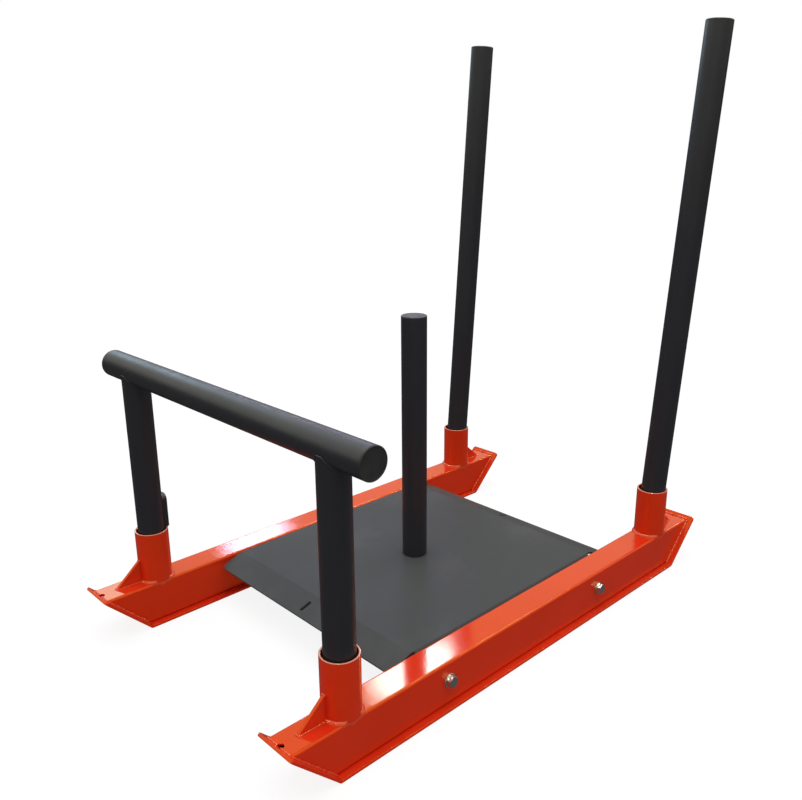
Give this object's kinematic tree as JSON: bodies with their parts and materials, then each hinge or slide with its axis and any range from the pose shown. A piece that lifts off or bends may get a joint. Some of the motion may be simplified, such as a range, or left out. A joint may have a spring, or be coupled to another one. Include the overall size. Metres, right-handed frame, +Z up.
{
  "type": "push sled",
  "caption": "Push sled with mitred box rails on skid plates, a folded deck with a plate post, a low push bar and tall poles that lift out of sockets.",
  "frame": {"origin": "on the floor, under the middle of the sled's bounding box", "axes": "+Z up, +Y along the rails towards the tall poles, +X across the sled to the right of someone facing +Y"},
  "size_m": [0.71, 1.073, 1.0654],
  "materials": {
    "powder_red": "gloss powder coat",
    "weld_red": "gloss powder coat over weld",
    "deck_grey": "satin powder coat",
    "satin_black": "satin powder coat",
    "cap_black": "satin",
    "zinc": "bright zinc plate"
  },
  "bodies": {
    "frame": {"rail_left": "powder_red", "rail_right": "powder_red", "skid_left": "powder_red", "skid_right": "powder_red", "socket_front_left": "powder_red", "socket_front_right": "powder_red", "socket_rear_left": "powder_red", "socket_rear_right": "powder_red", "gusset_front_left": "powder_red", "gusset_front_right": "powder_red", "gusset_rear_left": "powder_red", "gusset_rear_right": "powder_red", "socket_welds": "weld_red", "deck_plate": "deck_grey", "deck_bolts": "zinc", "deck_washers": "zinc", "deck_nuts": "zinc", "post_foot_plug": "zinc", "post_bolt": "zinc", "post_washer": "zinc", "weight_post": "satin_black", "post_cap": "cap_black"},
    "push_bar": {"push_bar": "satin_black", "bar_leg_left": "satin_black", "bar_leg_right": "satin_black", "bar_cap_left": "cap_black", "bar_cap_right": "cap_black", "leg_stop_lug": "satin_black"},
    "pole_left": {"pole_left": "satin_black", "pole_cap_left": "cap_black"},
    "pole_right": {"pole_right": "satin_black", "pole_cap_right": "cap_black"}
  },
  "joints": [
    {"name": "push_bar_lift", "type": "slide", "parent": "frame", "child": "push_bar", "axis": [0, 0, 1], "range_m": [0, 0.12]},
    {"name": "pole_left_lift", "type": "slide", "parent": "frame", "child": "pole_left", "axis": [0.0347, 0.0367, 0.9987], "range_m": [0, 0.12]},
    {"name": "pole_right_lift", "type": "slide", "parent": "frame", "child": "pole_right", "axis": [0.0347, 0.0367, 0.9987], "range_m": [0, 0.12]}
  ]
}
